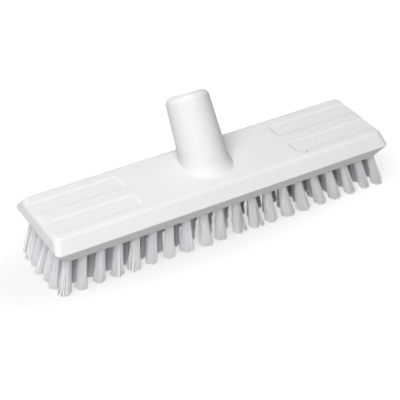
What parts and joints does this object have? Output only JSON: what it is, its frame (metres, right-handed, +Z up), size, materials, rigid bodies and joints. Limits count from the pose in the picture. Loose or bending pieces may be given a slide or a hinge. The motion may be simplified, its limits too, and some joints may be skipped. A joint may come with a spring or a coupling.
{
  "type": "scrub brush",
  "caption": "Long deck scrub brush head: a moulded block with a leaning threaded handle socket on top and rows of stiff bristle tufts beneath.",
  "frame": {"origin": "in the plane of the trimmed bristle tips, under the middle of the block", "axes": "+X along the block, +Y to the rear, the way the handle socket leans, +Z up"},
  "size_m": [0.31, 0.0877, 0.1052],
  "materials": {
    "block": "satin",
    "bristle": "satin",
    "anchor": "satin"
  },
  "bodies": {
    "root": {"brush_block": "block", "handle_socket": "block", "tufts_row_1_section_1": "bristle", "tufts_row_1_section_2": "bristle", "tufts_row_1_section_3": "bristle", "tufts_row_1_section_4": "bristle", "tufts_row_2_section_1": "bristle", "tufts_row_2_section_2": "bristle", "tufts_row_2_section_3": "bristle", "tufts_row_2_section_4": "bristle", "tufts_row_3_section_1": "bristle", "tufts_row_3_section_2": "bristle", "tufts_row_3_section_3": "bristle", "tufts_row_3_section_4": "bristle", "tufts_row_4_section_1": "bristle", "tufts_row_4_section_2": "bristle", "tufts_row_4_section_3": "bristle", "tufts_row_4_section_4": "bristle", "tufts_row_5_section_1": "bristle", "tufts_row_5_section_2": "bristle", "tufts_row_5_section_3": "bristle", "tufts_row_5_section_4": "bristle", "tufts_row_6_section_1": "bristle", "tufts_row_6_section_2": "bristle", "tufts_row_6_section_3": "bristle", "tufts_row_6_section_4": "bristle", "tufts_row_7_section_1": "bristle", "tufts_row_7_section_2": "bristle", "tufts_row_7_section_3": "bristle", "tufts_row_7_section_4": "bristle", "anchors_row_1_section_1": "anchor", "anchors_row_1_section_2": "anchor", "anchors_row_1_section_3": "anchor", "anchors_row_1_section_4": "anchor", "anchors_row_2_section_1": "anchor", "anchors_row_2_section_2": "anchor", "anchors_row_2_section_3": "anchor", "anchors_row_2_section_4": "anchor", "anchors_row_3_section_1": "anchor", "anchors_row_3_section_2": "anchor", "anchors_row_3_section_3": "anchor", "anchors_row_3_section_4": "anchor", "anchors_row_4_section_1": "anchor", "anchors_row_4_section_2": "anchor", "anchors_row_4_section_3": "anchor", "anchors_row_4_section_4": "anchor", "anchors_row_5_section_1": "anchor", "anchors_row_5_section_2": "anchor", "anchors_row_5_section_3": "anchor", "anchors_row_5_section_4": "anchor", "anchors_row_6_section_1": "anchor", "anchors_row_6_section_2": "anchor", "anchors_row_6_section_3": "anchor", "anchors_row_6_section_4": "anchor", "anchors_row_7_section_1": "anchor", "anchors_row_7_section_2": "anchor", "anchors_row_7_section_3": "anchor", "anchors_row_7_section_4": "anchor"}
  },
  "joints": []
}
